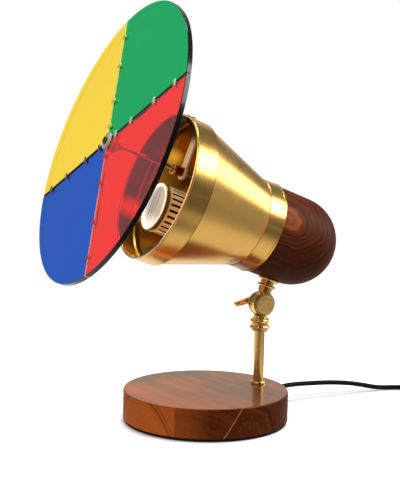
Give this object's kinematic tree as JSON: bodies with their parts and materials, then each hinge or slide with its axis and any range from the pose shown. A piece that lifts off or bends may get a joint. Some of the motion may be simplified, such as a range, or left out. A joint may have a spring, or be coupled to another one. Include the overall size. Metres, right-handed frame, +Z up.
{
  "type": "color wheel light",
  "caption": "Tilting spot lamp with a brass shade and a slowly driven wheel of coloured panels in front, on a post and a round wooden base with a cord.",
  "frame": {"origin": "centre of the foot pad's underside, on the table", "axes": "+Z up; the lamp points towards -X and its post stands towards +X; the lamp is symmetric about the XZ plane but for lever, cord and colour order"},
  "size_m": [0.5582, 0.3205, 0.4257],
  "materials": {
    "wood_base": "satin varnished warm brown wood with a long grain",
    "wood_rear": "satin varnished dark reddish wood with growth rings",
    "rubber_black": "matte black rubber",
    "ballast_iron": "plain cast iron, hidden",
    "zinc_steel": "zinc plated steel",
    "strap_steel": "pale bronze painted steel",
    "steel_dark": "blackened steel",
    "brass_satin": "brushed and lacquered brass",
    "brass_polished": "polished brass",
    "cord_sheath": "black flexible cord sheath",
    "tie_fabric": "dark woven tie",
    "plastic_black": "black moulded plastic",
    "plastic_grey": "dark grey moulded plastic",
    "plastic_white": "white moulded plastic",
    "ceramic_white": null,
    "bulb_aluminium": "gold anodised aluminium fins",
    "lens_frosted": "frosted lens",
    "reflector": "bright reflector",
    "panel_yellow": "glossy see-through yellow",
    "panel_green": "glossy see-through green",
    "panel_red": "glossy see-through red",
    "panel_blue": "glossy see-through blue"
  },
  "bodies": {
    "base": {"base_block": "wood_base", "foot_pad": "rubber_black", "ballast_disc": "ballast_iron", "base_cover": "zinc_steel", "cover_screws": "zinc_steel", "post_tube": "brass_satin", "post_flange": "brass_satin", "post_washer": "zinc_steel", "post_nut": "zinc_steel", "cord_gland": "rubber_black", "base_lead": "cord_sheath", "power_cord": "cord_sheath", "cord_coil": "cord_sheath", "cord_tie": "tie_fabric", "plug_body": "plastic_black", "plug_blades": "zinc_steel", "switch_body": "plastic_black"},
    "rocker": {"switch_rocker": "plastic_grey"},
    "knuckle": {"lower_knuckle": "brass_polished", "swivel_screw": "steel_dark", "friction_washer": "plastic_white", "pivot_bolt": "brass_polished", "lever_washer": "brass_polished"},
    "lever": {"clamp_lever": "brass_polished"},
    "head": {"upper_knuckle": "brass_polished", "neck_flange": "brass_polished", "neck_nut": "zinc_steel", "wood_housing": "wood_rear", "rear_collar": "brass_satin", "shade_cone": "brass_satin", "rim_band": "brass_satin", "bulkhead_plate": "zinc_steel", "shade_screws": "zinc_steel", "bearing_strap": "strap_steel", "strap_screws": "steel_dark", "shaft_bush": "brass_satin", "motor_can": "zinc_steel", "motor_plate": "zinc_steel", "motor_pillars": "zinc_steel", "lamp_holder": "ceramic_white", "holder_bracket": "zinc_steel", "bracket_screws": "zinc_steel", "bulb_body": "bulb_aluminium", "bulb_bezel": "plastic_white", "bulb_lens": "lens_frosted", "bulb_reflector": "reflector", "bulb_pins": "zinc_steel", "terminal_block": "plastic_white", "head_leads": "cord_sheath"},
    "rotor": {"motor_rotor": "steel_dark"},
    "wheel": {"panel_yellow": "panel_yellow", "panel_green": "panel_green", "panel_red": "panel_red", "panel_blue": "panel_blue", "panel_clips": "brass_polished", "hub_spool": "brass_polished", "hub_washer": "brass_polished", "hub_screw": "steel_dark", "wheel_shaft": "zinc_steel", "drive_gear": "plastic_white"}
  },
  "joints": [
    {"name": "post_swivel", "type": "hinge", "parent": "base", "child": "knuckle", "pos_m": [0.0625, 0, 0.095], "axis": [0, 0, 1], "range_deg": [-160, 160]},
    {"name": "head_tilt", "type": "hinge", "parent": "knuckle", "child": "head", "pos_m": [0.0625, 0, 0.1195], "axis": [0, 1, 0], "range_deg": [-25, 60]},
    {"name": "lever_turn", "type": "hinge", "parent": "knuckle", "child": "lever", "pos_m": [0.0625, 0, 0.1195], "axis": [0, 1, 0], "range_deg": [0, 180]},
    {"name": "wheel_spin", "type": "hinge", "parent": "head", "child": "wheel", "pos_m": [-0.05152, 0, 0.26569], "axis": [-0.9367, 0, 0.3502], "continuous": true},
    {"name": "rotor_spin", "type": "hinge", "parent": "head", "child": "rotor", "pos_m": [0.02773, 0, 0.22068], "axis": [-0.9367, 0, 0.3502], "continuous": true},
    {"name": "switch_rock", "type": "hinge", "parent": "base", "child": "rocker", "pos_m": [0.295, -0.053, 0.016], "axis": [1, 0, 0], "range_deg": [-16, 0]}
  ],
  "couplings": [
    {"joint": "rotor_spin", "follows": "wheel_spin", "ratio": -3}
  ]
}
